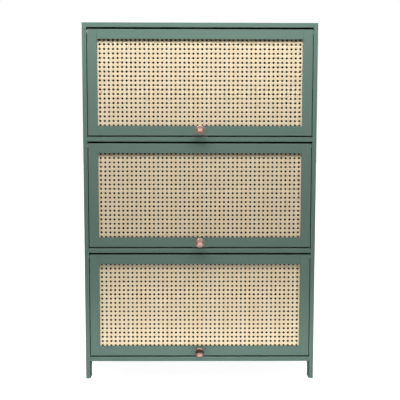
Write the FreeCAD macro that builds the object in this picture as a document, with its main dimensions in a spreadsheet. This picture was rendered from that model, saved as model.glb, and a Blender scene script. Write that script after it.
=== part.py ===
"""Shoe cabinet: a painted board carcass on arched sides, with three cane doors that swing up.

The carcass is two full-height side panels with four boards between them. Cam fittings and
dowels hold each board, and a thin back panel slides in grooves. Each opening has a loose shelf
on pins and a door hung on two steel pins near its top corners, so the door swings out and up.
Units are millimetres. The front faces -Y, Z is up, and the origin is on the floor in the middle
of the whole cabinet, its knobs counted.
"""
import FreeCAD, Part
import os
import re
import Sketcher

SIZES = (
    # carcass
    ("width", 700, "over the side panels"),
    ("depth", 300, "front to back, without the knobs"),
    ("height", 1080, "floor to top"),
    ("leg_height", 56, "floor to the underside of the bottom panel"),
    ("board", 14, "thickness of the four boards between the sides"),
    ("side_thickness", 13, "thickness of the side panels"),
    ("leg_depth", 30, "front to back of each leg"),
    ("arch_radius", 25, "inner corners of the arch between two legs"),
    ("arch_drop", 4, "top of the arch below the bottom panel's underside"),
    ("glide_thickness", 2, "nail-on glide under each leg"),
    ("glide_diameter", 12, "nail-on glide under each leg"),
    ("glide_nail_diameter", 2, "nail of a glide"),
    ("glide_nail_length", 12, "nail of a glide, in the leg"),
    # back panel
    ("back_thickness", 3, "back panel"),
    ("back_inset", 10, "back panel's rear face to the rear edge of the sides"),
    ("groove_depth", 6, "groove that holds the back panel"),
    ("groove_clearance", 0.2, "each side of the back panel in its groove"),
    ("groove_end_gap", 0.5, "edge of the back panel to the bottom of its groove"),
    ("back_screw_diameter", 3, "screw through the back panel into a divider"),
    ("back_screw_grip", 17, "length of that screw in the divider"),
    ("back_screw_head", 7, "diameter of its head"),
    ("back_screw_edge", 60, "outer screw of a row to the side panel"),
    # fittings between the boards and the sides
    ("fixing_front", 40, "front edge to the first cam"),
    ("fixing_back", 50, "rear edge to the last cam"),
    ("dowel_offset", 32, "cam to the dowel beside it"),
    ("dowel_diameter", 8, "board dowel"),
    ("dowel_length", 30, "board dowel"),
    ("dowel_in_side", 10, "part of the dowel in the side panel"),
    ("cam_diameter", 15, "recess of a cam"),
    ("cam_height", 12, "cam"),
    ("cam_clearance", 0.1, "round the cam and over it"),
    ("cam_setback", 24, "centre of a cam to the end of its board"),
    ("cam_slot_width", 1.5, "screwdriver slot in a cam"),
    ("bolt_thread_diameter", 5, "thread of a cam bolt"),
    ("bolt_thread_length", 11, "thread of a cam bolt, in the side panel"),
    ("bolt_diameter", 5.5, "plain shank of a cam bolt"),
    ("bolt_head_diameter", 7, "head of a cam bolt"),
    ("bolt_head_length", 3, "head of a cam bolt"),
    ("bolt_bore", 8, "bore for a cam bolt in the end of a board"),
    # loose shelves
    ("shelf_thickness", 15, "loose shelf"),
    ("shelf_setback", 36, "front of a shelf behind the front of the sides"),
    ("shelf_side_gap", 1, "each end of a shelf"),
    ("shelf_back_gap", 2, "back of a shelf to the back panel"),
    ("shelf_pin_edge", 40, "shelf pin to the front or back of its shelf"),
    ("shelf_pin_diameter", 5, "shank of a shelf pin"),
    ("shelf_pin_depth", 9, "shank of a shelf pin, in the side panel"),
    ("shelf_tongue_length", 9, "tongue that carries the shelf"),
    ("shelf_tongue_width", 9, "tongue that carries the shelf"),
    ("shelf_tongue_height", 3, "tongue that carries the shelf"),
    # doors
    ("door_thickness", 15, "door frame"),
    ("door_side_gap", 2, "each side of a door"),
    ("door_top_gap", 5.5, "over a door, room for its top edge to swing"),
    ("door_bottom_gap", 4, "under a door"),
    ("frame_width", 29, "width of a stile or rail"),
    ("lip_thickness", 5, "lip in front of the cane"),
    ("rebate_width", 8, "rebate behind the lip"),
    ("cane_thickness", 2, "cane webbing"),
    ("cane_edge_gap", 0.5, "edge of the cane to the rebate"),
    ("strip_end_gap", 0.3, "each end of a cane strip"),
    ("frame_dowel_diameter", 6, "dowel of the door frame"),
    ("frame_dowel_length", 24, "dowel of the door frame, half in each piece"),
    # pivots
    ("pivot_drop", 7.5, "axis below the top edge of the door"),
    ("pivot_diameter", 5, "steel pivot pin"),
    ("pivot_in_door", 10, "pin pressed into the stile"),
    ("pivot_in_bush", 8, "pin running in the bush"),
    ("pivot_clearance", 0.05, "round the pin in the bush"),
    ("bush_diameter", 8, "bush pressed into the side panel"),
    ("bush_length", 10, "bush pressed into the side panel"),
    ("flange_diameter", 11, "flange of the bush, in the gap beside the door"),
    ("flange_thickness", 0.8, "flange of the bush"),
    # knobs
    ("knob_diameter", 28, "head of a knob"),
    ("knob_projection", 26, "front of a knob to the face of the door"),
    ("knob_head", 11, "thickness of the head"),
    ("knob_edge", 2, "chamfer round the head"),
    ("knob_neck", 11, "diameter of the neck"),
    ("knob_foot", 17, "diameter of the foot on the door"),
    ("knob_foot_height", 2.5, "thickness of the foot"),
    ("knob_screw_diameter", 4, "machine screw from behind"),
    ("knob_screw_grip", 12, "part of the screw in the knob"),
    ("knob_screw_clearance", 0.25, "round the screw in the rail"),
    ("knob_screw_head", 7, "diameter of the screw's head, sunk flush in the rail"),
    ("knob_screw_head_height", 2.5, "height of the screw's head"),
    ("knob_screw_land", 1.5, "wood left between the screw's head and the rebate"),
    # magnetic catches
    ("catch_length", 26, "housing"),
    ("catch_depth", 16, "housing and base, front to back"),
    ("catch_height", 18, "housing"),
    ("catch_base_length", 46, "base with two screw holes"),
    ("catch_base_height", 4, "base with two screw holes"),
    ("catch_gap", 0.3, "strike plate to the housing with the door shut"),
    ("catch_screw_diameter", 3, "screw of a catch"),
    ("catch_screw_grip", 9, "screw of a catch, in the board"),
    ("catch_screw_head", 6, "diameter of its head"),
    ("pole_length", 20, "steel pole plate"),
    ("pole_depth", 12, "steel pole plate"),
    ("pole_thickness", 1.5, "steel pole plate"),
    ("magnet_height", 8, "magnet between two pole plates"),
    ("strike_length", 38, "steel strike plate on the door"),
    ("strike_height", 12, "steel strike plate on the door"),
    ("strike_thickness", 1.5, "steel strike plate on the door"),
    ("strike_screw_pitch", 26, "between the two screws of a strike plate"),
    ("strike_screw_diameter", 2.5, "screw of a strike plate"),
    ("strike_screw_grip", 8, "screw of a strike plate, in the rail"),
    ("strike_screw_head", 5, "diameter of its head, flush in the plate"),
    ("screw_head_height", 2, "head of a wood screw"),
)

doc = FreeCAD.newDocument("shoe_cabinet")
sheet = doc.addObject("Spreadsheet::Sheet", "Sizes")
for row, (alias, value, note) in enumerate(SIZES, start=1):
    sheet.set("A%d" % row, note)
    sheet.set("B%d" % row, str(value))
    sheet.setAlias("B%d" % row, alias)
doc.recompute()

# Places and sizes that follow from the sheet, as formulas in its names
FRONT = "((knob_projection - depth) / 2)"
BACK = "((knob_projection + depth) / 2)"
INNER_WIDTH = "(width - 2 * side_thickness)"
OPENING = "((height - leg_height - 4 * board) / 3)"
BACK_FACE = f"({BACK} - back_inset - back_thickness)"
DOOR_WIDTH = f"({INNER_WIDTH} - 2 * door_side_gap)"
DOOR_HEIGHT = f"({OPENING} - door_top_gap - door_bottom_gap)"
DOOR_BACK = f"({FRONT} + door_thickness)"
WINDOW_WIDTH = f"({DOOR_WIDTH} - 2 * frame_width)"
SOLID_RAIL = "(frame_width - rebate_width)"
PIVOT_Y = f"({FRONT} + door_thickness / 2)"
KNOB_RISE = f"({SOLID_RAIL} - knob_screw_head / 2 - knob_screw_land)"
CATCH_FRONT = f"({DOOR_BACK} + strike_thickness + catch_gap)"
MAGNET_MIDDLE = "((catch_base_height + catch_height) / 2 - 1)"

BOARDS = ("bottom_panel", "lower_divider", "upper_divider", "top_panel")
DOORS = ("lower_door", "middle_door", "upper_door")
SIDES = {"left": -1, "right": 1}
nodes = []


def board_base(level):
    """Underside of one of the four fixed boards, counted from the bottom."""
    return f"(leg_height + {level} * ({OPENING} + board))"


def floor(level):
    """Top face of the board under one of the three openings."""
    return f"({board_base(level)} + board)"


def door_base(level):
    """Bottom edge of a door."""
    return f"({floor(level)} + door_bottom_gap)"


def pivot_height(level):
    """Axis on which a door swings."""
    return f"({door_base(level)} + {DOOR_HEIGHT} - pivot_drop)"


def bind(item, place, formula):
    """Set one property from a formula in the names of the sheet."""
    item.setExpression(place, re.sub(r"[a-z_]{2,}", lambda name: "Sizes." + name.group(), formula))


def put(item, x, y, z):
    for axis, formula in zip("xyz", (x, y, z)):
        bind(item, "Placement.Base." + axis, formula)
    return item


def box(x, y, z, length, width, height):
    """A block from its lowest corner and its sizes along X, Y and Z."""
    item = doc.addObject("Part::Box", "block")
    bind(item, "Length", length)
    bind(item, "Width", width)
    bind(item, "Height", height)
    return put(item, x, y, z)


def rod(along, x, y, z, length, diameter):
    """A round bar that starts at a point and runs along +X, +Y or +Z."""
    item = doc.addObject("Part::Cylinder", "rod")
    turn = {"X": FreeCAD.Rotation(FreeCAD.Vector(0, 1, 0), 90),
            "Y": FreeCAD.Rotation(FreeCAD.Vector(1, 0, 0), -90),
            "Z": FreeCAD.Rotation()}
    item.Placement.Rotation = turn[along]
    bind(item, "Height", length)
    bind(item, "Radius", f"({diameter}) / 2")
    return put(item, x, y, z)


def face_rod(side, inward, outward, y, z, diameter):
    """A round bar along X through a side panel's inner face, so far in and so far out of it."""
    length = f"({inward}) + ({outward})"
    if side == "left":
        start = f"-{INNER_WIDTH} / 2 - ({outward})"
    else:
        start = f"{INNER_WIDTH} / 2 - ({inward})"
    return rod("X", start, y, z, length, diameter)


def fuse(pieces):
    item = doc.addObject("Part::MultiFuse", "joined")
    item.Shapes = pieces
    return item


def cut(base, tools):
    item = doc.addObject("Part::Cut", "cut")
    item.Base = base
    item.Tool = collect(tools)
    return item


def collect(pieces):
    """Separate solids held in one object."""
    item = doc.addObject("Part::Compound", "group")
    item.Links = pieces
    return item


def node(name, item):
    """Name a finished sub-part."""
    item.Label = name
    nodes.append(item)
    return item


def fixing_rows():
    """Places along Y of the two cams at each end of a board, and of the dowel beside each."""
    first = f"{FRONT} + fixing_front"
    last = f"{BACK} - fixing_back"
    return (first, last), (f"{first} + dowel_offset", f"{last} - dowel_offset")


def fixing_height(level):
    return f"{board_base(level)} + board / 2"


def shelf_base(level):
    """Underside of a loose shelf, which sits at the middle of its opening."""
    return f"({floor(level)} + {OPENING} / 2 - shelf_thickness / 2)"


def shelf_pin_rows():
    front = f"{FRONT} + shelf_setback + shelf_pin_edge"
    back = f"{BACK_FACE} - shelf_back_gap - shelf_pin_edge"
    return front, back


def arch():
    """The space between a side panel's two legs: a slot with round upper corners."""
    top = "(leg_height - arch_drop)"
    start = f"({FRONT} + leg_depth)"
    span = "(depth - 2 * leg_depth)"
    wide = box("-width / 2 - side_thickness", start, "0", "2 * width", span, f"{top} - arch_radius")
    tall = box("-width / 2 - side_thickness", f"{start} + arch_radius", "0",
               "2 * width", f"{span} - 2 * arch_radius", top)
    corners = [rod("X", "-width / 2 - side_thickness", place, f"{top} - arch_radius",
                   "2 * width", "2 * arch_radius")
               for place in (f"{start} + arch_radius", f"{start} + {span} - arch_radius")]
    return fuse([wide, tall] + corners)


def side_panel(side):
    """Full-height side with its two legs, the groove for the back and the fitting holes."""
    inner = f"{INNER_WIDTH} / 2" if side == "right" else "-width / 2"
    groove_x = f"{INNER_WIDTH} / 2" if side == "right" else f"-{INNER_WIDTH} / 2 - groove_depth"
    panel = box(inner, FRONT, "glide_thickness", "side_thickness", "depth", "height - glide_thickness")
    tools = [arch(),
             box(groove_x, f"{BACK_FACE} - groove_clearance", "leg_height + board - groove_depth",
                 "groove_depth", "back_thickness + 2 * groove_clearance",
                 "height - leg_height - 2 * board + 2 * groove_depth")]
    cams, dowels = fixing_rows()
    for level in range(len(BOARDS)):
        for y in cams:
            tools.append(face_rod(side, "0", "bolt_thread_length", y, fixing_height(level),
                                  "bolt_thread_diameter"))
        for y in dowels:
            tools.append(face_rod(side, "0", "dowel_in_side", y, fixing_height(level),
                                  "dowel_diameter"))
    for level in range(len(DOORS)):
        tools.append(face_rod(side, "0", "bush_length", PIVOT_Y, pivot_height(level),
                              "bush_diameter"))
        for y in shelf_pin_rows():
            tools.append(face_rod(side, "0", "shelf_pin_depth", y,
                                  f"{shelf_base(level)} - shelf_tongue_height / 2",
                                  "shelf_pin_diameter"))
    for y in glide_rows():
        tools.append(glide_nail(side, y))
    return node(side + "_side_panel", cut(panel, tools))


def glide_rows():
    return f"{FRONT} + leg_depth / 2", f"{BACK} - leg_depth / 2"


def glide_centre(side):
    return f"{SIDES[side]} * (width - side_thickness) / 2"


def glide_nail(side, y):
    return rod("Z", glide_centre(side), y, "glide_thickness", "glide_nail_length",
               "glide_nail_diameter")


def foot_glides():
    """A plastic disc with its nail under each leg."""
    glides = []
    for side in SIDES:
        for y in glide_rows():
            disc = rod("Z", glide_centre(side), y, "0", "glide_thickness", "glide_diameter")
            glides.append(fuse([disc, glide_nail(side, y)]))
    return node("foot_glides", collect(glides))


def board(level):
    """One fixed board between the sides, bored at both ends, with cam recesses underneath."""
    name = BOARDS[level]
    outer = level in (0, len(BOARDS) - 1)
    rear = BACK if outer else BACK_FACE
    blank = box(f"-{INNER_WIDTH} / 2", FRONT, board_base(level),
                INNER_WIDTH, f"{rear} - {FRONT}", "board")
    tools = []
    cams, dowels = fixing_rows()
    for side in SIDES:
        for y in cams:
            tools.append(cam_bore(side, level, y))
            tools.append(rod("Z", cam_centre(side), y, board_base(level),
                             "cam_height + cam_clearance", "cam_diameter"))
        for y in dowels:
            tools.append(face_rod(side, "dowel_length - dowel_in_side", "0", y,
                                  fixing_height(level), "dowel_diameter"))
    if outer:
        groove_base = f"{board_base(level)}" if level else "leg_height + board - groove_depth"
        tools.append(box(f"-{INNER_WIDTH} / 2", f"{BACK_FACE} - groove_clearance", groove_base,
                         INNER_WIDTH, "back_thickness + 2 * groove_clearance", "groove_depth"))
    else:
        for x in back_screw_row():
            tools.append(rod("Y", x, f"{BACK_FACE} - back_screw_grip", fixing_height(level),
                             "back_screw_grip", "back_screw_diameter"))
    if level < len(DOORS):
        for x in catch_screw_row():
            tools.append(rod("Z", x, f"{CATCH_FRONT} + catch_depth / 2",
                             f"{floor(level)} - catch_screw_grip",
                             "catch_screw_grip", "catch_screw_diameter"))
    return node(name, cut(blank, tools))


def cam_centre(side):
    return f"{SIDES[side]} * ({INNER_WIDTH} / 2 - cam_setback)"


def cam_bore(side, level, y):
    """Bore for a bolt, from the end of the board to just past the middle of its cam."""
    return face_rod(side, "cam_setback + bolt_head_length", "0", y, fixing_height(level),
                    "bolt_bore")


def cam_locks():
    """Die-cast cams, each bored for its bolt and slotted for a screwdriver."""
    locks = []
    for side in SIDES:
        for level in range(len(BOARDS)):
            for y in fixing_rows()[0]:
                body = rod("Z", cam_centre(side), y, board_base(level), "cam_height",
                           "cam_diameter - 2 * cam_clearance")
                slot = box(f"{cam_centre(side)} - cam_diameter / 3",
                           f"{y} - cam_slot_width / 2", board_base(level),
                           "cam_diameter * 2 / 3", "cam_slot_width", "cam_slot_width")
                locks.append(cut(body, [cam_bore(side, level, y), slot]))
    return node("cam_locks", collect(locks))


def cam_bolts():
    """Steel bolts: a thread in the side panel, a plain shank and a head inside the cam."""
    bolts = []
    for side in SIDES:
        for level in range(len(BOARDS)):
            for y in fixing_rows()[0]:
                z = fixing_height(level)
                thread = face_rod(side, "0", "bolt_thread_length", y, z, "bolt_thread_diameter")
                shank = face_rod(side, "cam_setback", "0", y, z, "bolt_diameter")
                head = face_rod(side, "cam_setback + bolt_head_length / 2",
                                "bolt_head_length / 2 - cam_setback", y, z, "bolt_head_diameter")
                bolts.append(fuse([thread, shank, head]))
    return node("cam_bolts", collect(bolts))


def board_dowels():
    dowels = []
    for side in SIDES:
        for level in range(len(BOARDS)):
            for y in fixing_rows()[1]:
                dowels.append(face_rod(side, "dowel_length - dowel_in_side", "dowel_in_side",
                                       y, fixing_height(level), "dowel_diameter"))
    return node("board_dowels", collect(dowels))


def back_screw_row():
    outer = f"({INNER_WIDTH} / 2 - back_screw_edge)"
    return f"-{outer}", "0", outer


def back_panel():
    """Thin panel in the grooves of the sides, top and bottom, screwed to the two dividers."""
    reach = "(groove_depth - groove_end_gap)"
    sheet_of_board = box(f"-{INNER_WIDTH} / 2 - {reach}", BACK_FACE,
                         f"leg_height + board - {reach}", f"{INNER_WIDTH} + 2 * {reach}",
                         "back_thickness", f"height - leg_height - 2 * board + 2 * {reach}")
    holes = [rod("Y", x, BACK_FACE, fixing_height(level), "back_thickness",
                 "back_screw_diameter")
             for level in (1, 2) for x in back_screw_row()]
    return node("back_panel", cut(sheet_of_board, holes))


def back_screws():
    screws = []
    for level in (1, 2):
        for x in back_screw_row():
            shank = rod("Y", x, f"{BACK_FACE} - back_screw_grip", fixing_height(level),
                        "back_screw_grip + back_thickness", "back_screw_diameter")
            head = rod("Y", x, f"{BACK_FACE} + back_thickness", fixing_height(level),
                       "screw_head_height", "back_screw_head")
            screws.append(fuse([shank, head]))
    return node("back_screws", collect(screws))


def loose_shelf(level):
    name = DOORS[level].replace("door", "shelf")
    depth = f"{BACK_FACE} - shelf_back_gap - {FRONT} - shelf_setback"
    shelf = box(f"-{INNER_WIDTH} / 2 + shelf_side_gap", f"{FRONT} + shelf_setback",
                shelf_base(level), f"{INNER_WIDTH} - 2 * shelf_side_gap", depth,
                "shelf_thickness")
    return node(name, shelf)


def shelf_pins():
    """Four steel pins a shelf: a round shank in the side and a flat tongue under the shelf."""
    pins = []
    for level in range(len(DOORS)):
        for side in SIDES:
            inner = f"{INNER_WIDTH} / 2 - shelf_tongue_length"
            tongue_x = inner if side == "right" else f"-{INNER_WIDTH} / 2"
            for y in shelf_pin_rows():
                middle = f"{shelf_base(level)} - shelf_tongue_height / 2"
                shank = face_rod(side, "0", "shelf_pin_depth", y, middle, "shelf_pin_diameter")
                tongue = box(tongue_x, f"{y} - shelf_tongue_width / 2",
                             f"{shelf_base(level)} - shelf_tongue_height",
                             "shelf_tongue_length", "shelf_tongue_width", "shelf_tongue_height")
                pins.append(fuse([shank, tongue]))
    return node("shelf_pins", collect(pins))


def pivot_bushes():
    """Nylon bushes in the sides, each with a thin flange that keeps the door off the panel."""
    bushes = []
    for level in range(len(DOORS)):
        for side in SIDES:
            y, z = PIVOT_Y, pivot_height(level)
            barrel = face_rod(side, "0", "bush_length", y, z, "bush_diameter")
            flange = face_rod(side, "flange_thickness", "0", y, z, "flange_diameter")
            bore = face_rod(side, "flange_thickness", "bush_length", y, z,
                            "pivot_diameter + 2 * pivot_clearance")
            bushes.append(cut(fuse([barrel, flange]), [bore]))
    return node("pivot_bushes", collect(bushes))


def catch_screw_row():
    step = "(catch_length + catch_base_length) / 4"
    return f"-{step}", step


def catch_pocket(level, height):
    """Space for the magnet and its pole plates in the front of a housing, or a part of it."""
    return box("-pole_length / 2", CATCH_FRONT,
               f"{floor(level)} + {MAGNET_MIDDLE} - ({height}) / 2",
               "pole_length", "pole_depth", height)


def catch_housings():
    housings = []
    for level in range(len(DOORS)):
        tower = box("-catch_length / 2", CATCH_FRONT, floor(level),
                    "catch_length", "catch_depth", "catch_height")
        base = box("-catch_base_length / 2", CATCH_FRONT, floor(level),
                   "catch_base_length", "catch_depth", "catch_base_height")
        tools = [catch_pocket(level, "magnet_height + 2 * pole_thickness")]
        for x in catch_screw_row():
            tools.append(rod("Z", x, f"{CATCH_FRONT} + catch_depth / 2", floor(level),
                             "catch_base_height", "catch_screw_diameter"))
        housings.append(cut(fuse([tower, base]), tools))
    return node("catch_housings", collect(housings))


def catch_magnets():
    return node("catch_magnets", collect([catch_pocket(level, "magnet_height")
                                          for level in range(len(DOORS))]))


def catch_pole_plates():
    plates = []
    for level in range(len(DOORS)):
        middle = f"{floor(level)} + {MAGNET_MIDDLE}"
        for base in (f"{middle} - magnet_height / 2 - pole_thickness",
                     f"{middle} + magnet_height / 2"):
            plates.append(box("-pole_length / 2", CATCH_FRONT, base,
                              "pole_length", "pole_depth", "pole_thickness"))
    return node("catch_pole_plates", collect(plates))


def catch_screws():
    screws = []
    for level in range(len(DOORS)):
        for x in catch_screw_row():
            y = f"{CATCH_FRONT} + catch_depth / 2"
            shank = rod("Z", x, y, f"{floor(level)} - catch_screw_grip",
                        "catch_screw_grip + catch_base_height", "catch_screw_diameter")
            head = rod("Z", x, y, f"{floor(level)} + catch_base_height", "screw_head_height",
                       "catch_screw_head")
            screws.append(fuse([shank, head]))
    return node("catch_screws", collect(screws))


def frame_dowel_rows(level):
    """Heights of the dowels in a door's bottom and top rails, in the solid part of each."""
    top = f"{door_base(level)} + {DOOR_HEIGHT}"
    return (f"{door_base(level)} + {SOLID_RAIL} / 4", f"{door_base(level)} + {SOLID_RAIL} * 3 / 4",
            f"{top} - {SOLID_RAIL} / 4", f"{top} - {SOLID_RAIL} * 3 / 4")


def frame_dowels(side, level, rows):
    """Dowels across the joint between a stile and the rails, half in each."""
    middle = f"{SIDES[side]} * {WINDOW_WIDTH} / 2"
    return [rod("X", f"{middle} - frame_dowel_length / 2", PIVOT_Y, z, "frame_dowel_length",
                "frame_dowel_diameter") for z in rows]


def pivot_pin(side, level):
    """Steel pin from the stile across the gap into the bush."""
    return face_rod(side, "door_side_gap + pivot_in_door", "pivot_in_bush", PIVOT_Y,
                    pivot_height(level), "pivot_diameter")


def stile(side, level):
    """Upright of a door frame, with a stopped rebate for the cane behind its inner edge."""
    outer = f"{DOOR_WIDTH} / 2"
    start = f"{outer} - frame_width" if side == "right" else f"-{outer}"
    rebate_start = start if side == "right" else f"{start} + {SOLID_RAIL}"
    blank = box(start, FRONT, door_base(level), "frame_width", "door_thickness", DOOR_HEIGHT)
    rebate = box(rebate_start, f"{FRONT} + lip_thickness", f"{door_base(level)} + {SOLID_RAIL}",
                 "rebate_width", "door_thickness - lip_thickness",
                 f"{DOOR_HEIGHT} - 2 * {SOLID_RAIL}")
    tools = [rebate, pivot_pin(side, level)]
    tools += frame_dowels(side, level, frame_dowel_rows(level))
    return node(f"{DOORS[level]}_{side}_stile", cut(blank, tools))


def knob_screw_rod(level, start, length, diameter):
    """A round bar on the axis of the knob."""
    return rod("Y", "0", start, f"{door_base(level)} + {KNOB_RISE}", length, diameter)


def knob_screw_head(level):
    """The screw's head, flush with the back of the rail."""
    return knob_screw_rod(level, f"{DOOR_BACK} - knob_screw_head_height",
                          "knob_screw_head_height", "knob_screw_head")


def strike_rod(level, x, start, length, diameter):
    """A round bar on the axis of a strike plate's screw."""
    return rod("Y", x, start, f"{floor(level)} + {MAGNET_MIDDLE}", length, diameter)


def strike_screw_row():
    return "-strike_screw_pitch / 2", "strike_screw_pitch / 2"


def rail(end, level):
    """Cross piece of a door frame. The bottom one carries the knob and the strike plate."""
    low = door_base(level)
    if end == "top":
        low = f"({door_base(level)} + {DOOR_HEIGHT} - frame_width)"
    rebate_base = f"{low} + {SOLID_RAIL}" if end == "bottom" else low
    blank = box(f"-{WINDOW_WIDTH} / 2", FRONT, low, WINDOW_WIDTH, "door_thickness",
                "frame_width")
    rebate = box(f"-{WINDOW_WIDTH} / 2", f"{FRONT} + lip_thickness", rebate_base,
                 WINDOW_WIDTH, "door_thickness - lip_thickness", "rebate_width")
    rows = frame_dowel_rows(level)
    rows = rows[:2] if end == "bottom" else rows[2:]
    tools = [rebate]
    for side in SIDES:
        tools += frame_dowels(side, level, rows)
    if end == "bottom":
        tools.append(knob_screw_rod(level, FRONT, "door_thickness",
                                    "knob_screw_diameter + 2 * knob_screw_clearance"))
        tools.append(knob_screw_head(level))
        for x in strike_screw_row():
            tools.append(strike_rod(level, x, f"{DOOR_BACK} - strike_screw_grip",
                                    "strike_screw_grip", "strike_screw_diameter"))
    return node(f"{DOORS[level]}_{end}_rail", cut(blank, tools))


def cane(level):
    """Sheet of woven cane against the back of the lip."""
    reach = "(rebate_width - cane_edge_gap)"
    panel = box(f"-{WINDOW_WIDTH} / 2 - {reach}", f"{FRONT} + lip_thickness",
                f"{door_base(level)} + frame_width - {reach}",
                f"{WINDOW_WIDTH} + 2 * {reach}", "cane_thickness",
                f"{DOOR_HEIGHT} - 2 * frame_width + 2 * {reach}")
    return node(f"{DOORS[level]}_cane", panel)


def cane_strips(level):
    """Wooden strips that fill the rebate behind the cane: two long ones, two short between."""
    depth = "(door_thickness - lip_thickness - cane_thickness)"
    y = f"{DOOR_BACK} - {depth}"
    length = f"({WINDOW_WIDTH} + 2 * rebate_width - 2 * strip_end_gap)"
    bottom = f"({door_base(level)} + {SOLID_RAIL})"
    top = f"({door_base(level)} + {DOOR_HEIGHT} - frame_width)"
    long_strips = [box(f"-{length} / 2", y, z, length, depth, "rebate_width")
                   for z in (bottom, top)]
    short_base = f"{bottom} + rebate_width + strip_end_gap"
    short_length = f"{DOOR_HEIGHT} - 2 * frame_width - 2 * strip_end_gap"
    short_strips = [box(x, y, short_base, "rebate_width", depth, short_length)
                    for x in (f"-{WINDOW_WIDTH} / 2 - rebate_width", f"{WINDOW_WIDTH} / 2")]
    node(f"{DOORS[level]}_long_strips", collect(long_strips))
    node(f"{DOORS[level]}_short_strips", collect(short_strips))


def knob(level):
    """Turned metal knob: a foot, a neck and a thick chamfered disc, tapped from behind."""
    body = doc.addObject("PartDesign::Body", "knob")
    sketch = body.newObject("Sketcher::SketchObject", "profile")
    plane = [item for item in body.Origin.OriginFeatures if item.Role == "XY_Plane"][0]
    sketch.AttachmentSupport = [(plane, "")]
    sketch.MapMode = "FlatFace"
    back = "knob_projection - knob_head"
    corners = (("knob_screw_diameter / 2", "0"), ("knob_foot / 2", "0"),
               ("knob_foot / 2", "knob_foot_height"), ("knob_neck / 2", "knob_foot_height"),
               ("knob_neck / 2", back), ("knob_diameter / 2 - knob_edge", back),
               ("knob_diameter / 2", f"{back} + knob_edge"),
               ("knob_diameter / 2", "knob_projection - knob_edge"),
               ("knob_diameter / 2 - knob_edge", "knob_projection"), ("0", "knob_projection"),
               ("0", "knob_screw_grip"), ("knob_screw_diameter / 2", "knob_screw_grip"))
    draw_outline(sketch, corners)
    turned = body.newObject("PartDesign::Revolution", "turned")
    turned.Profile = sketch
    turned.ReferenceAxis = (sketch, ["V_Axis"])
    turned.Angle = 360
    body.Placement.Rotation = FreeCAD.Rotation(FreeCAD.Vector(0, 0, 1), 180)
    put(body, "0", FRONT, f"{door_base(level)} + {KNOB_RISE}")
    return node(f"{DOORS[level]}_knob", body)


def draw_outline(sketch, corners):
    """Close straight lines through corners whose X and Y are formulas."""
    last = len(corners) - 1
    for number in range(len(corners)):
        start = FreeCAD.Vector(number, number * (last - number), 0)
        following = (number + 1) % len(corners)
        end = FreeCAD.Vector(following, following * (last - following), 0)
        sketch.addGeometry(Part.LineSegment(start, end), False)
    for number in range(len(corners)):
        sketch.addConstraint(Sketcher.Constraint("Coincident", number, 2,
                                                 (number + 1) % len(corners), 1))
    for number, place in enumerate(corners):
        for kind, on_axis, formula in zip(("DistanceX", "DistanceY"), (-2, -1), place):
            if formula == "0":
                sketch.addConstraint(Sketcher.Constraint("PointOnObject", number, 1, on_axis))
                continue
            index = sketch.addConstraint(Sketcher.Constraint(kind, -1, 1, number, 1, 1.0))
            name = f"{kind}{number}"
            sketch.renameConstraint(index, name)
            bind(sketch, "Constraints." + name, formula)


def knob_screw(level):
    shank = knob_screw_rod(level, f"{FRONT} - knob_screw_grip",
                           "knob_screw_grip + door_thickness", "knob_screw_diameter")
    return node(f"{DOORS[level]}_knob_screw", fuse([shank, knob_screw_head(level)]))


def strike_plate(level):
    """Steel plate that the magnet holds, with its two screws flush in it."""
    plate = box("-strike_length / 2", DOOR_BACK,
                f"{floor(level)} + {MAGNET_MIDDLE} - strike_height / 2",
                "strike_length", "strike_thickness", "strike_height")
    holes = [strike_rod(level, x, DOOR_BACK, "strike_thickness", "strike_screw_head")
             for x in strike_screw_row()]
    node(f"{DOORS[level]}_strike_plate", cut(plate, holes))
    screws = []
    for x in strike_screw_row():
        shank = strike_rod(level, x, f"{DOOR_BACK} - strike_screw_grip", "strike_screw_grip",
                           "strike_screw_diameter")
        head = strike_rod(level, x, DOOR_BACK, "strike_thickness", "strike_screw_head")
        screws.append(fuse([shank, head]))
    node(f"{DOORS[level]}_strike_screws", collect(screws))


def door(level):
    """One door with everything that swings with it."""
    for side in SIDES:
        stile(side, level)
    for end in ("bottom", "top"):
        rail(end, level)
    dowels = []
    for side in SIDES:
        dowels += frame_dowels(side, level, frame_dowel_rows(level))
    node(f"{DOORS[level]}_frame_dowels", collect(dowels))
    cane(level)
    cane_strips(level)
    node(f"{DOORS[level]}_pivot_pins", collect([pivot_pin(side, level) for side in SIDES]))
    knob(level)
    knob_screw(level)
    strike_plate(level)


def check_and_write():
    """Stop on any failed object or bad shape, then write one file for each sub-part."""
    for item in doc.Objects:
        if "Invalid" in item.State or "Error" in item.State:
            raise SystemExit(f"{item.Label} failed: {item.State}")
    for item in nodes:
        shape = item.Shape
        if shape.isNull() or not shape.isValid() or not shape.Solids:
            raise SystemExit(f"{item.Label} has no valid shape")
    os.makedirs("parts", exist_ok=True)
    for item in nodes:
        item.Shape.exportStep(f"parts/{item.Label}.step")
    print(len(nodes), "sub-parts written")


for side_name in SIDES:
    side_panel(side_name)
for board_level in range(len(BOARDS)):
    board(board_level)
back_panel()
back_screws()
board_dowels()
cam_bolts()
cam_locks()
foot_glides()
for door_level in range(len(DOORS)):
    loose_shelf(door_level)
shelf_pins()
pivot_bushes()
catch_housings()
catch_magnets()
catch_pole_plates()
catch_screws()
for door_level in range(len(DOORS)):
    door(door_level)
doc.recompute()
check_and_write()
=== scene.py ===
import math
import bmesh
import bpy
from mathutils import Matrix, Vector


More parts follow.
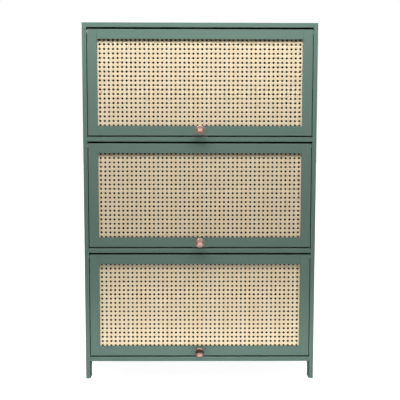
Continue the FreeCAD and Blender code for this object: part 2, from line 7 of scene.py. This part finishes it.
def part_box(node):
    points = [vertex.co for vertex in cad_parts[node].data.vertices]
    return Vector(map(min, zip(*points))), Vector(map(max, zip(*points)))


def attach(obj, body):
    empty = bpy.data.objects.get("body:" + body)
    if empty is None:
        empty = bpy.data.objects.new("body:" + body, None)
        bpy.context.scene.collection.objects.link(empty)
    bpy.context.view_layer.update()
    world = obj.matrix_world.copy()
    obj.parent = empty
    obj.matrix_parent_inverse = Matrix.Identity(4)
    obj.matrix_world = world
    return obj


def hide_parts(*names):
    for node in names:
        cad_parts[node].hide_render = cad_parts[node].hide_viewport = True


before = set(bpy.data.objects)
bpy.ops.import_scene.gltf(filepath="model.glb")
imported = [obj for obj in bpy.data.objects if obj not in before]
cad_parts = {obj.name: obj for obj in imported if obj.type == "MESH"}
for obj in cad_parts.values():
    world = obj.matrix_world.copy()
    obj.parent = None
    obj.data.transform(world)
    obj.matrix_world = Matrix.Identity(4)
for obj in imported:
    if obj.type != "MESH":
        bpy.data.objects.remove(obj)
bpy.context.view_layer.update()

# A painted shoe cabinet, 1.08 m tall, with three cane doors that swing up. It stands on z = 0
# and faces -Y. Lengths are metres, and mm turns a size in millimetres into metres.
mm = 0.001


# --- Sides, boards and shelves -------------------------------------------------------------
# Two full-height sides of 13 mm fibreboard, four boards of 14 mm and three loose shelves.
# Edges are sanded round by about a millimetre. The outside is sprayed sage green, and the
# inside is painted shade: a dark green for the dim inside of the cabinet.
def linear(colour):
    """An sRGB hex colour as the linear colour that a shader takes."""
    shades = [int(colour[place:place + 2], 16) / 255 for place in (1, 3, 5)]
    return [s / 12.92 if s <= 0.04045 else ((s + 0.055) / 1.055) ** 2.4 for s in shades] + [1]


def add_node(tree, kind, settings={}, links={}):
    """Add a node. Settings give its properties or sockets a value, and links feed its sockets.

    A socket goes by its name, or by its number where several share a name.
    """
    node = tree.nodes.new(kind)
    for name, value in settings.items():
        if hasattr(node, str(name)):
            setattr(node, name, value)
        else:
            node.inputs[name].default_value = value
    for name, source in links.items():
        tree.links.new(source, node.inputs[name])
    return node


def finish_material(name):
    """An empty node material. Returns it, its tree, its main shader and the place it reads."""
    material = bpy.data.materials.new(name)
    material.use_nodes = True
    tree = material.node_tree
    tree.nodes.clear()
    shader = add_node(tree, "ShaderNodeBsdfPrincipled")
    add_node(tree, "ShaderNodeOutputMaterial", links={"Surface": shader.outputs["BSDF"]})
    place = add_node(tree, "ShaderNodeTexCoord")
    return material, tree, shader, place


# Satin lacquer: low even gloss, a faint orange peel from the spray gun and a slow drift in
# tone where the coat is thinner. The peel is 2 mm across, a little coarser than real.
sage_lacquer, tree, shader, place = finish_material("satin_sage_lacquer")
drift = add_node(tree, "ShaderNodeTexNoise", {"Scale": 1 / (180 * mm), "Detail": 3},
                 {"Vector": place.outputs["Object"]})
tone = add_node(tree, "ShaderNodeMixRGB", {"Color1": linear("#567166"), "Color2": linear("#5b766c")},
                {"Fac": drift.outputs["Fac"]})
# Painted shade: a dark green covers what lies between the sides and between the top and
# bottom boards, the doors' backs too. It is cut off within the boards' thickness, starts 1.5 mm
# behind the front edge and ends inside the back panel. COMPARE takes the middle and half the length.
painted_shade_side = 343 * mm
painted_shade_front = -135.5 * mm
painted_shade_back = 151.5 * mm
painted_shade_bottom = 63 * mm
painted_shade_top = 1073 * mm
inside = add_node(tree, "ShaderNodeSeparateXYZ", {}, {"Vector": place.outputs["Object"]})
off_centre = add_node(tree, "ShaderNodeMath", {"operation": "ABSOLUTE"}, {0: inside.outputs["X"]})
between = add_node(tree, "ShaderNodeMath", {"operation": "LESS_THAN", 1: painted_shade_side},
                   {0: off_centre.outputs["Value"]})
front_to_back = add_node(tree, "ShaderNodeMath",
                         {"operation": "COMPARE", 1: (painted_shade_front + painted_shade_back) / 2,
                          2: (painted_shade_back - painted_shade_front) / 2}, {0: inside.outputs["Y"]})
bottom_to_top = add_node(tree, "ShaderNodeMath",
                         {"operation": "COMPARE", 1: (painted_shade_bottom + painted_shade_top) / 2,
                          2: (painted_shade_top - painted_shade_bottom) / 2}, {0: inside.outputs["Z"]})
level = add_node(tree, "ShaderNodeMath", {"operation": "MULTIPLY"},
                 {0: between.outputs["Value"], 1: front_to_back.outputs["Value"]})
painted_shade_mask = add_node(tree, "ShaderNodeMath", {"operation": "MULTIPLY"},
                    {0: level.outputs["Value"], 1: bottom_to_top.outputs["Value"]})
# Mix in the painted shade: dark green inside the cabinet, the sprayed tone outside.
with_painted_shade = add_node(tree, "ShaderNodeMixRGB", {"Color2": linear("#31403a")},
                    {"Fac": painted_shade_mask.outputs["Value"], "Color1": tone.outputs["Color"]})
peel = add_node(tree, "ShaderNodeTexNoise", {"Scale": 1 / (2 * mm), "Detail": 2},
                {"Vector": place.outputs["Object"]})
peel_bump = add_node(tree, "ShaderNodeBump", {"Strength": 0.06, "Distance": 0.1 * mm},
                     {"Height": peel.outputs["Fac"]})
gloss = add_node(tree, "ShaderNodeMapRange", {"To Min": 0.42, "To Max": 0.5},
                 {"Value": drift.outputs["Fac"]})
shader.inputs["IOR"].default_value = 1.48
tree.links.new(with_painted_shade.outputs["Color"], shader.inputs["Base Color"])
tree.links.new(gloss.outputs["Result"], shader.inputs["Roughness"])
tree.links.new(peel_bump.outputs["Normal"], shader.inputs["Normal"])


def coat(name, material, edge=0.0):
    """Give a CAD piece its finish, and ease its sharp edges to a radius.

    Triangles that lie flat together are joined into one face first.
    """
    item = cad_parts[name]
    for slot in item.material_slots:
        slot.material = material
    if edge:
        weld = item.modifiers.new("close_mesh", "WELD")
        weld.merge_threshold = 0.01 * mm
        whole = item.modifiers.new("whole_faces", "DECIMATE")
        whole.decimate_type = "DISSOLVE"
        whole.angle_limit = math.radians(0.5)
        easing = item.modifiers.new("eased_edges", "BEVEL")
        easing.width = edge
        easing.segments = 2
        easing.limit_method = "ANGLE"
        easing.angle_limit = math.radians(40)
        easing.use_clamp_overlap = False
        item.modifiers.new("flat_faces", "WEIGHTED_NORMAL")


for name in ("left_side_panel", "right_side_panel", "bottom_panel", "lower_divider",
             "upper_divider", "top_panel", "lower_shelf", "middle_shelf", "upper_shelf"):
    coat(name, sage_lacquer, edge=0.8 * mm)


# --- Dowels, cam bolts and cam locks -------------------------------------------------------
# Each end of a board has two fluted beech dowels and two cam fittings: a plated steel bolt
# in the side and a die-cast zinc lock that turns in a recess under the board.
# Beech: pale and close-grained, with short darker flecks along the grain, which runs across
# the cabinet. Flecks are 0.6 mm wide and about 12 mm long.
beech, tree, shader, place = finish_material("bare_beech")
along = add_node(tree, "ShaderNodeMapping", {"Scale": (1 / (12 * mm), 1 / (0.6 * mm), 1 / (0.6 * mm))},
                 {"Vector": place.outputs["Object"]})
fleck = add_node(tree, "ShaderNodeTexNoise", {"Scale": 1, "Detail": 3},
                 {"Vector": along.outputs["Vector"]})
grain = add_node(tree, "ShaderNodeMixRGB", {"Color1": linear("#d9b98f"), "Color2": linear("#b88a5c")},
                 {"Fac": fleck.outputs["Fac"]})
grain_bump = add_node(tree, "ShaderNodeBump", {"Strength": 0.2, "Distance": 0.1 * mm},
                      {"Height": fleck.outputs["Fac"]})
shader.inputs["Roughness"].default_value = 0.62
tree.links.new(grain.outputs["Color"], shader.inputs["Base Color"])
tree.links.new(grain_bump.outputs["Normal"], shader.inputs["Normal"])
coat("board_dowels", beech)

# Zinc-plated steel: bright and bluish, clouded by the plating in patches about 4 mm across.
plated_steel, tree, shader, place = finish_material("zinc_plated_steel")
cloud = add_node(tree, "ShaderNodeTexNoise", {"Scale": 1 / (4 * mm), "Detail": 3},
                 {"Vector": place.outputs["Object"]})
bright = add_node(tree, "ShaderNodeMixRGB", {"Color1": linear("#c4c8cc"), "Color2": linear("#a9adb1")},
                  {"Fac": cloud.outputs["Fac"]})
haze = add_node(tree, "ShaderNodeMapRange", {"To Min": 0.24, "To Max": 0.42},
                {"Value": cloud.outputs["Fac"]})
shader.inputs["Metallic"].default_value = 1
tree.links.new(bright.outputs["Color"], shader.inputs["Base Color"])
tree.links.new(haze.outputs["Result"], shader.inputs["Roughness"])
coat("cam_bolts", plated_steel)

# Die-cast zinc: duller and greyer, with the fine pitted skin that the mould leaves.
cast_zinc, tree, shader, place = finish_material("die_cast_zinc")
pits = add_node(tree, "ShaderNodeTexNoise", {"Scale": 1 / (0.7 * mm), "Detail": 4},
                {"Vector": place.outputs["Object"]})
dull = add_node(tree, "ShaderNodeMixRGB", {"Color1": linear("#a3a5a6"), "Color2": linear("#878a8c")},
                {"Fac": pits.outputs["Fac"]})
pit_bump = add_node(tree, "ShaderNodeBump", {"Strength": 0.3, "Distance": 0.1 * mm},
                    {"Height": pits.outputs["Fac"]})
shader.inputs["Metallic"].default_value = 1
shader.inputs["Roughness"].default_value = 0.48
tree.links.new(dull.outputs["Color"], shader.inputs["Base Color"])
tree.links.new(pit_bump.outputs["Normal"], shader.inputs["Normal"])
coat("cam_locks", cast_zinc)


# --- Back panel ----------------------------------------------------------------------------
# A 3 mm hardboard sheet in the grooves, painted sage green behind. Its inner face is a dark
# green, painted shade for the dim inside of the cabinet. The paint is thin, so the pressed fibres
# still show as a fine felted grain 1.5 mm across.
painted_hardboard, tree, shader, place = finish_material("painted_hardboard")
fibre = add_node(tree, "ShaderNodeTexNoise", {"Scale": 1 / (1.5 * mm), "Detail": 5, "Roughness": 0.7},
                 {"Vector": place.outputs["Object"]})
felt = add_node(tree, "ShaderNodeMixRGB", {"Color1": linear("#4c645a"), "Color2": linear("#556e63")},
                {"Fac": fibre.outputs["Fac"]})
# The painted shade ends halfway through the sheet, so it takes in the inner face alone.
depth = add_node(tree, "ShaderNodeSeparateXYZ", {}, {"Vector": place.outputs["Object"]})
inner_face = add_node(tree, "ShaderNodeMath", {"operation": "LESS_THAN", 1: painted_shade_back},
                      {0: depth.outputs["Y"]})
# Painted shade: the inner face turns dark green.
faces = add_node(tree, "ShaderNodeMixRGB", {"Color2": linear("#2c3934")},
                 {"Fac": inner_face.outputs["Value"], "Color1": felt.outputs["Color"]})
felt_bump = add_node(tree, "ShaderNodeBump", {"Strength": 0.25, "Distance": 0.15 * mm},
                     {"Height": fibre.outputs["Fac"]})
shader.inputs["Roughness"].default_value = 0.6
tree.links.new(faces.outputs["Color"], shader.inputs["Base Color"])
tree.links.new(felt_bump.outputs["Normal"], shader.inputs["Normal"])
coat("back_panel", painted_hardboard)
coat("back_screws", plated_steel)


# --- Glides, pivot bushes, shelf pins and catches ------------------------------------------
# Ivory nylon makes the nail-on glides, the door bushes and the catch housings. Each catch
# holds a ferrite magnet between two steel pole plates, and plated pins carry the shelves.
# Moulded nylon: waxy and slightly see-through, with a fine spark-eroded texture of 0.5 mm.
moulded_nylon, tree, shader, place = finish_material("moulded_nylon")
spark = add_node(tree, "ShaderNodeTexNoise", {"Scale": 1 / (0.5 * mm), "Detail": 2},
                 {"Vector": place.outputs["Object"]})
ivory = add_node(tree, "ShaderNodeMixRGB", {"Color1": linear("#e2dccb"), "Color2": linear("#d6cfbc")},
                 {"Fac": spark.outputs["Fac"]})
spark_bump = add_node(tree, "ShaderNodeBump", {"Strength": 0.15, "Distance": 0.05 * mm},
                      {"Height": spark.outputs["Fac"]})
shader.inputs["IOR"].default_value = 1.53
shader.inputs["Roughness"].default_value = 0.4
tree.links.new(ivory.outputs["Color"], shader.inputs["Base Color"])
tree.links.new(spark_bump.outputs["Normal"], shader.inputs["Normal"])
coat("foot_glides", moulded_nylon, edge=0.4 * mm)
coat("pivot_bushes", moulded_nylon)
coat("catch_housings", moulded_nylon, edge=0.5 * mm)
coat("shelf_pins", plated_steel)
coat("catch_pole_plates", plated_steel)
coat("catch_screws", plated_steel)

# Sintered ferrite: near-black ceramic, ground matt, with a visible grit of 0.4 mm.
ferrite, tree, shader, place = finish_material("sintered_ferrite")
grit = add_node(tree, "ShaderNodeTexNoise", {"Scale": 1 / (0.4 * mm), "Detail": 3},
                {"Vector": place.outputs["Object"]})
black = add_node(tree, "ShaderNodeMixRGB", {"Color1": linear("#2b2b2d"), "Color2": linear("#3c3b3d")},
                 {"Fac": grit.outputs["Fac"]})
shader.inputs["Roughness"].default_value = 0.7
tree.links.new(black.outputs["Color"], shader.inputs["Base Color"])
coat("catch_magnets", ferrite)


# --- Door frames ---------------------------------------------------------------------------
# Two stiles and two rails a door, dowelled and glued, with the same lacquer as the carcass.
# Painted softwood strips behind hold the cane, and steel pins at the top carry the door.
doors = ("lower_door", "middle_door", "upper_door")
for door in doors:
    for member in ("left_stile", "right_stile", "bottom_rail", "top_rail"):
        coat(f"{door}_{member}", sage_lacquer, edge=0.6 * mm)
    coat(f"{door}_frame_dowels", beech)
    coat(f"{door}_pivot_pins", plated_steel)

# Painted softwood: the same green, brushed on, so the grain shows through as raised lines
# 1 mm apart. It runs along X, which is the long strips' length.
painted_softwood, tree, shader, place = finish_material("painted_softwood")
ridges = add_node(tree, "ShaderNodeMapping", {"Scale": (1 / (60 * mm), 1 / (1 * mm), 1 / (1 * mm))},
                  {"Vector": place.outputs["Object"]})
rings = add_node(tree, "ShaderNodeTexNoise", {"Scale": 1, "Detail": 3},
                 {"Vector": ridges.outputs["Vector"]})
brushed = add_node(tree, "ShaderNodeMixRGB", {"Color1": linear("#50685d"), "Color2": linear("#5a7368")},
                   {"Fac": rings.outputs["Fac"]})
ring_bump = add_node(tree, "ShaderNodeBump", {"Strength": 0.3, "Distance": 0.15 * mm},
                     {"Height": rings.outputs["Fac"]})
shader.inputs["Roughness"].default_value = 0.55
tree.links.new(brushed.outputs["Color"], shader.inputs["Base Color"])
tree.links.new(ring_bump.outputs["Normal"], shader.inputs["Normal"])
for door in doors:
    coat(f"{door}_long_strips", painted_softwood, edge=0.4 * mm)
    coat(f"{door}_short_strips", painted_softwood, edge=0.4 * mm)


# --- Cane webbing --------------------------------------------------------------------------
# One sheet of open cane a door, woven from 3 mm strands of rattan skin: pairs run across and
# down, and single diagonals pass over one pair and under the other, which leaves eight-sided
# holes. Each strand is a crowned section extruded from bend to bend of the weave.
def cane_strand(weave, angle, aside, lifts, pitch, pair, repeats):
    """Lay a strand through the middle of the sheet, at an angle and moved aside from there.

    It bends four times in a pitch, where the strands that it crosses begin and end, and
    stands out of the sheet by the four lifts in turn.
    """
    half_width = 1.5 * mm
    half_crown = 0.8 * mm
    section = ((-half_width, 0.15 * mm), (half_width, 0.15 * mm),
               (half_crown, -0.25 * mm), (-half_crown, -0.25 * mm))
    start = -repeats * pitch - pair
    corners = [weave.verts.new((start, y - lifts[0], aside + z)) for z, y in section]
    laid = list(corners)
    edges = [weave.edges.new((corners[side - 1], corners[side])) for side in range(len(corners))]
    gaps = (2 * pair, pitch / 2 - 2 * pair)
    for bend in range(8 * repeats):
        grown = bmesh.ops.extrude_edge_only(weave, edges=edges)["geom"]
        edges = [item for item in grown if isinstance(item, bmesh.types.BMEdge)]
        corners = [item for item in grown if isinstance(item, bmesh.types.BMVert)]
        rise = lifts[(bend + 1) % 4] - lifts[bend % 4]
        bmesh.ops.translate(weave, verts=corners, vec=(gaps[bend % 2], -rise, 0))
        laid += corners
    bmesh.ops.rotate(weave, verts=laid, matrix=Matrix.Rotation(-angle, 3, "Y"))


def cane_family(webbing, angle, strands, step, count, pitch, pair, repeats, half_size):
    """Weave all the strands of one direction, trim them to the sheet and add them to it."""
    weave = bmesh.new()
    for aside, lifts in strands:
        cane_strand(weave, angle, aside, lifts, pitch, pair, repeats)
    bmesh.ops.translate(weave, verts=weave.verts, vec=step * -((count - 1) / 2))
    first = weave.verts[:] + weave.edges[:] + weave.faces[:]
    for number in range(1, count):
        again = bmesh.ops.duplicate(weave, geom=first)["geom"]
        copied = [item for item in again if isinstance(item, bmesh.types.BMVert)]
        bmesh.ops.translate(weave, verts=copied, vec=step * number)
    for side in (-1, 1):
        for axis, reach in (("x", half_size.x), ("z", half_size.z)):
            outwards = Vector((side, 0, 0) if axis == "x" else (0, 0, side))
            everything = weave.verts[:] + weave.edges[:] + weave.faces[:]
            bmesh.ops.bisect_plane(weave, geom=everything, dist=1e-7, plane_co=outwards * reach,
                                   plane_no=outwards, clear_outer=True)
    bmesh.ops.holes_fill(weave, edges=weave.edges)
    bmesh.ops.recalc_face_normals(weave, faces=weave.faces)
    strand_map = weave.loops.layers.uv.new("strand")
    for face in weave.faces:
        for loop in face.loops:
            x, z = loop.vert.co.x, loop.vert.co.z
            run = x * math.cos(angle) + z * math.sin(angle)
            loop[strand_map].uv = (run, z * math.cos(angle) - x * math.sin(angle) + angle)
    part = bpy.data.meshes.new("strands")
    weave.to_mesh(part)
    weave.free()
    webbing.from_mesh(part)
    bpy.data.meshes.remove(part)


def add_piece(name, mesh, material, slot, body, *replaced):
    """Show a mesh as a piece that moves with a body and stands for CAD nodes."""
    mesh.name = name
    mesh.shade_smooth()
    mesh.set_sharp_from_angle(angle=math.radians(50))
    mesh.materials.append(material)
    item = bpy.data.objects.new(name, mesh)
    bpy.context.collection.objects.link(item)
    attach(item, body)
    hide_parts(*replaced)
    return item


# Rattan skin: creamy and faintly glossy. Strands differ in tone, and fine fibres, drawn
# 0.5 mm wide, run along each. The strand map holds the distance along and across a strand.
rattan_skin, tree, shader, place = finish_material("rattan_skin")
strand_tone = add_node(tree, "ShaderNodeMapping", {"Scale": (1 / (120 * mm), 1 / (3 * mm), 1)},
                       {"Vector": place.outputs["UV"]})
tones = add_node(tree, "ShaderNodeTexNoise", {"Scale": 1, "Detail": 1},
                 {"Vector": strand_tone.outputs["Vector"]})
fibre_run = add_node(tree, "ShaderNodeMapping", {"Scale": (1 / (25 * mm), 1 / (0.5 * mm), 1)},
                     {"Vector": place.outputs["UV"]})
fibres = add_node(tree, "ShaderNodeTexNoise", {"Scale": 1, "Detail": 2},
                  {"Vector": fibre_run.outputs["Vector"]})
cream = add_node(tree, "ShaderNodeMixRGB", {"Color1": linear("#f0e2c4"), "Color2": linear("#e6d2ab")},
                 {"Fac": tones.outputs["Fac"]})
streaked = add_node(tree, "ShaderNodeMixRGB", {"blend_type": "MULTIPLY", "Fac": 0.12},
                    {"Color1": cream.outputs["Color"], "Color2": fibres.outputs["Fac"]})
fibre_bump = add_node(tree, "ShaderNodeBump", {"Strength": 0.2, "Distance": 0.05 * mm},
                      {"Height": fibres.outputs["Fac"]})
shader.inputs["Roughness"].default_value = 0.38
tree.links.new(streaked.outputs["Color"], shader.inputs["Base Color"])
tree.links.new(fibre_bump.outputs["Normal"], shader.inputs["Normal"])

# The weave repeats at every pitch. The strands of a pair lie one pair length to each side of
# its middle, over and under each other, and the diagonals stand further out than the pairs.
pitch = 13.27 * mm
pair = 1.75 * mm
over_under = 0.25 * mm
diagonal_lift = 0.5 * mm
lower_corner, upper_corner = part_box("lower_door_cane")
half_size = (upper_corner - lower_corner) / 2
first_up = (over_under, -over_under, 0, 0)
first_down = (-over_under, over_under, 0, 0)
straight_pair = ((pair, first_up), (-pair, first_down))
sideways = Vector((pitch, 0, 0))
upwards = Vector((0, 0, pitch))
columns = 2 * int(half_size.x / pitch) + 1
rows = 2 * int(half_size.z / pitch) + 1
slanted = 2 * (math.ceil((half_size.x + half_size.z) / pitch) + 1)
webbing = bmesh.new()
cane_family(webbing, 0, straight_pair, upwards, rows, pitch, pair, columns // 2 + 1, half_size)
cane_family(webbing, math.pi / 2, straight_pair, sideways, columns, pitch, pair, rows // 2 + 1,
            half_size)
for turn in (1, -1):
    lift = turn * diagonal_lift
    cane_family(webbing, turn * math.pi / 4, ((0, (lift, lift, -lift, -lift)),), sideways, slanted,
                pitch * math.sqrt(2), pair * math.sqrt(2), rows // 2 + 1, half_size)
for door in doors:
    sheet = bpy.data.meshes.new(f"{door}_webbing")
    webbing.to_mesh(sheet)
    low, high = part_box(f"{door}_cane")
    sheet.transform(Matrix.Translation((low + high) / 2))
    add_piece(f"{door}_webbing", sheet, rattan_skin, "cane", door, f"{door}_cane")
webbing.free()


# --- Knobs ---------------------------------------------------------------------------------
# A turned knob in the middle of each bottom rail, 28 mm across: a foot, a waisted neck and a
# thick head with a rounded rim and a shallow dish. Each is one outline spun round its axis.
# Satin rose gold: a warm pink metal, with the rings that the lathe leaves, drawn 0.6 mm apart.
rose_gold, tree, shader, place = finish_material("satin_rose_gold")
turning = add_node(tree, "ShaderNodeMapping", {"Scale": (1 / (0.6 * mm), 1 / (0.6 * mm), 1)},
                   {"Vector": place.outputs["UV"]})
ring_marks = add_node(tree, "ShaderNodeTexNoise", {"Scale": 1, "Detail": 2},
                      {"Vector": turning.outputs["Vector"]})
blush = add_node(tree, "ShaderNodeMixRGB", {"Color1": linear("#d4aa9c"), "Color2": linear("#c59c8e")},
                 {"Fac": ring_marks.outputs["Fac"]})
ring_relief = add_node(tree, "ShaderNodeBump", {"Strength": 0.08, "Distance": 0.05 * mm},
                       {"Height": ring_marks.outputs["Fac"]})
shader.inputs["Metallic"].default_value = 1
shader.inputs["Roughness"].default_value = 0.2
tree.links.new(blush.outputs["Color"], shader.inputs["Base Color"])
tree.links.new(ring_relief.outputs["Normal"], shader.inputs["Normal"])

knob_low, knob_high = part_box("lower_door_knob")
radius = (knob_high.x - knob_low.x) / 2
reach = knob_high.y - knob_low.y
# Each corner of the outline is its radius from the axis, its distance from the door and how
# far it is rounded. The dish in the face is a shallow bowl, on a parabola.
outline = ((0, 0, 0), (8.5 * mm, 0, 0), (8.5 * mm, 2.5 * mm, 1 * mm), (5.5 * mm, 5 * mm, 2 * mm),
           (5.5 * mm, 12 * mm, 3 * mm), (radius, 16 * mm, 2 * mm), (radius, reach, 1.6 * mm))
dish_radius = 12.2 * mm
dish_depth = 2.6 * mm
dish_rings = 8
turned = bmesh.new()
corners = [turned.verts.new((away, -out, 0)) for away, out, rounding in outline]
for ring in range(dish_rings, -1, -1):
    away = dish_radius * ring / dish_rings
    hollow = dish_depth * (1 - (ring / dish_rings) ** 2)
    corners.append(turned.verts.new((away, hollow - reach, 0)))
for corner in range(1, len(corners)):
    turned.edges.new((corners[corner - 1], corners[corner]))
for corner, (away, out, rounding) in zip(corners, outline):
    if rounding:
        bmesh.ops.bevel(turned, geom=[corner], offset=rounding, offset_type="OFFSET", segments=6,
                        profile=0.5, affect="VERTICES", material=-1)
bmesh.ops.spin(turned, geom=turned.verts[:] + turned.edges[:], cent=(0, 0, 0), axis=(0, 1, 0),
               angle=2 * math.pi, steps=72, use_merge=True)
bmesh.ops.remove_doubles(turned, verts=turned.verts, dist=0.001 * mm)
bmesh.ops.recalc_face_normals(turned, faces=turned.faces)
ring_map = turned.loops.layers.uv.new("rings")
for face in turned.faces:
    for loop in face.loops:
        spot = loop.vert.co
        loop[ring_map].uv = (math.hypot(spot.x, spot.z), spot.y)
for door in doors:
    knob = bpy.data.meshes.new(f"{door}_turned_knob")
    turned.to_mesh(knob)
    low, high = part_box(f"{door}_knob")
    knob.transform(Matrix.Translation(((low.x + high.x) / 2, high.y, (low.z + high.z) / 2)))
    add_piece(f"{door}_turned_knob", knob, rose_gold, "rose_metal", door, f"{door}_knob")
turned.free()


# --- Knob screws and strike plates ---------------------------------------------------------
# A plated machine screw holds each knob from behind, and a plated strike plate with two
# screws meets the catch.
for door in doors:
    coat(f"{door}_knob_screw", plated_steel)
    coat(f"{door}_strike_plate", plated_steel, edge=0.2 * mm)
    coat(f"{door}_strike_screws", plated_steel)


# --- Floor, light and camera ---------------------------------------------------------------
# A white floor, lit to stay white, under a soft box that hangs above and a little in front.
# A low lamp in front lights the legs, and a large card further off shows only in the gloss.
# Pale walls behind light the sides and the back.
floor_mesh = bpy.data.meshes.new("floor")
floor_shape = bmesh.new()
bmesh.ops.create_circle(floor_shape, cap_ends=True, radius=60, segments=64)
floor_shape.to_mesh(floor_mesh)
floor_shape.free()
floor = bpy.data.objects.new("floor", floor_mesh)
bpy.context.collection.objects.link(floor)
white_floor, tree, shader, place = finish_material("white_studio_floor")
scuffs = add_node(tree, "ShaderNodeTexNoise", {"Scale": 3, "Detail": 2},
                  {"Vector": place.outputs["Object"]})
white = add_node(tree, "ShaderNodeMixRGB", {"Color1": linear("#8c8c8b"), "Color2": linear("#929291")},
                 {"Fac": scuffs.outputs["Fac"]})
rays = add_node(tree, "ShaderNodeLightPath")
glow = add_node(tree, "ShaderNodeMapRange", {"To Min": 0.0, "To Max": 0.93},
                {"Value": rays.outputs["Is Camera Ray"]})
shader.inputs["Roughness"].default_value = 0.9
shader.inputs["Emission Color"].default_value = linear("#ffffff")
tree.links.new(white.outputs["Color"], shader.inputs["Base Color"])
tree.links.new(glow.outputs["Result"], shader.inputs["Emission Strength"])
# What metal sees of the floor: bright in a wedge that widens away from the cabinet, from
# a third of a metre in front, and dark close by and to the sides.
spot = add_node(tree, "ShaderNodeSeparateXYZ", {}, {"Vector": place.outputs["Object"]})
ahead = add_node(tree, "ShaderNodeMapRange", {"From Min": -0.42, "From Max": -0.52, "To Min": 0.1,
                                              "To Max": 0.75}, {"Value": spot.outputs["Y"]})
slope = add_node(tree, "ShaderNodeMath", {"operation": "DIVIDE"},
                 {0: spot.outputs["X"], 1: spot.outputs["Y"]})
aside = add_node(tree, "ShaderNodeMath", {"operation": "ABSOLUTE"}, {"Value": slope.outputs["Value"]})
narrow = add_node(tree, "ShaderNodeMapRange", {"From Min": 0.35, "From Max": 0.7, "To Min": 1,
                                               "To Max": 0.05}, {"Value": aside.outputs["Value"]})
seen = add_node(tree, "ShaderNodeMath", {"operation": "MULTIPLY"},
                {0: ahead.outputs["Result"], 1: narrow.outputs["Result"]})
mirrored = add_node(tree, "ShaderNodeEmission", {}, {"Strength": seen.outputs["Value"]})
floor_look = add_node(tree, "ShaderNodeMixShader", {}, {"Fac": rays.outputs["Is Glossy Ray"],
                                                        1: shader.outputs["BSDF"],
                                                        2: mirrored.outputs["Emission"]})
floor_end = [node for node in tree.nodes if node.type == "OUTPUT_MATERIAL"][0]
tree.links.new(floor_look.outputs["Shader"], floor_end.inputs["Surface"])
floor_mesh.materials.append(white_floor)

world = bpy.data.worlds.new("studio")
bpy.context.scene.world = world
world.use_nodes = True
tree = world.node_tree
tree.nodes.clear()
# Gloss and metal see walls that darken to the sides. Matt paint sees a dim room in front and
# bright walls behind, and the camera sees plain white.
direction = add_node(tree, "ShaderNodeTexCoord")
sides = add_node(tree, "ShaderNodeSeparateXYZ", {}, {"Vector": direction.outputs["Generated"]})
sidelong = add_node(tree, "ShaderNodeMath", {"operation": "ABSOLUTE"}, {"Value": sides.outputs["X"]})
shade = add_node(tree, "ShaderNodeMapRange", {"From Min": 0.3, "From Max": 0.6, "To Min": 0.17,
                                              "To Max": 0.03}, {"Value": sidelong.outputs["Value"]})
studio_light = add_node(tree, "ShaderNodeBackground", {"Color": linear("#fffdfa")},
                        {"Strength": shade.outputs["Result"]})
rearward = add_node(tree, "ShaderNodeMapRange", {"From Min": 0.0, "From Max": 0.15, "To Min": 0.08,
                                                 "To Max": 2.0}, {"Value": sides.outputs["Y"]})
wall_light = add_node(tree, "ShaderNodeBackground", {"Color": linear("#fffdfa")},
                      {"Strength": rearward.outputs["Result"]})
backdrop = add_node(tree, "ShaderNodeBackground", {"Color": linear("#ffffff"), "Strength": 1})
ray = add_node(tree, "ShaderNodeLightPath")
room = add_node(tree, "ShaderNodeMixShader", {}, {"Fac": ray.outputs["Is Diffuse Ray"],
                                                  1: studio_light.outputs["Background"],
                                                  2: wall_light.outputs["Background"]})
sky = add_node(tree, "ShaderNodeMixShader", {}, {"Fac": ray.outputs["Is Camera Ray"],
                                                 1: room.outputs["Shader"],
                                                 2: backdrop.outputs["Background"]})
add_node(tree, "ShaderNodeOutputWorld", {}, {"Surface": sky.outputs["Shader"]})


def soft_box(name, place, target, width, height, watts):
    """A rectangular area lamp that faces a point, which the camera doesn't see."""
    lamp = bpy.data.lights.new(name, "AREA")
    lamp.shape = "RECTANGLE"
    lamp.size = width
    lamp.size_y = height
    lamp.energy = watts
    holder = bpy.data.objects.new(name, lamp)
    bpy.context.collection.objects.link(holder)
    holder.location = place
    holder.rotation_euler = (Vector(target) - Vector(place)).to_track_quat("-Z", "Y").to_euler()
    holder.visible_camera = False
    return holder


soft_box("overhead", (0, -0.85, 2.1), (0, -0.15, 0.7), width=2.0, height=0.5, watts=46)
low_bounce = soft_box("low_bounce", (0, -0.4, 0.06), (0, -0.137, 0.01), width=1.4, height=0.12,
                      watts=1.9)
low_bounce.visible_glossy = False
front_card = soft_box("front_card", (0, -3.8, 1.1), (0, -0.137, 0.8), width=4.0, height=2.2,
                      watts=28)
front_card.visible_diffuse = False

lens = bpy.data.cameras.new("camera")
lens.lens = 54
lens.sensor_width = 36
camera = bpy.data.objects.new("camera", lens)
bpy.context.collection.objects.link(camera)
camera.location = (-0.013, -1.944, 0.688)
camera.rotation_euler = (math.radians(90 - 4.24), math.radians(-0.073), math.radians(-0.416))
bpy.context.scene.camera = camera
bpy.context.scene.view_settings.view_transform = "Standard"
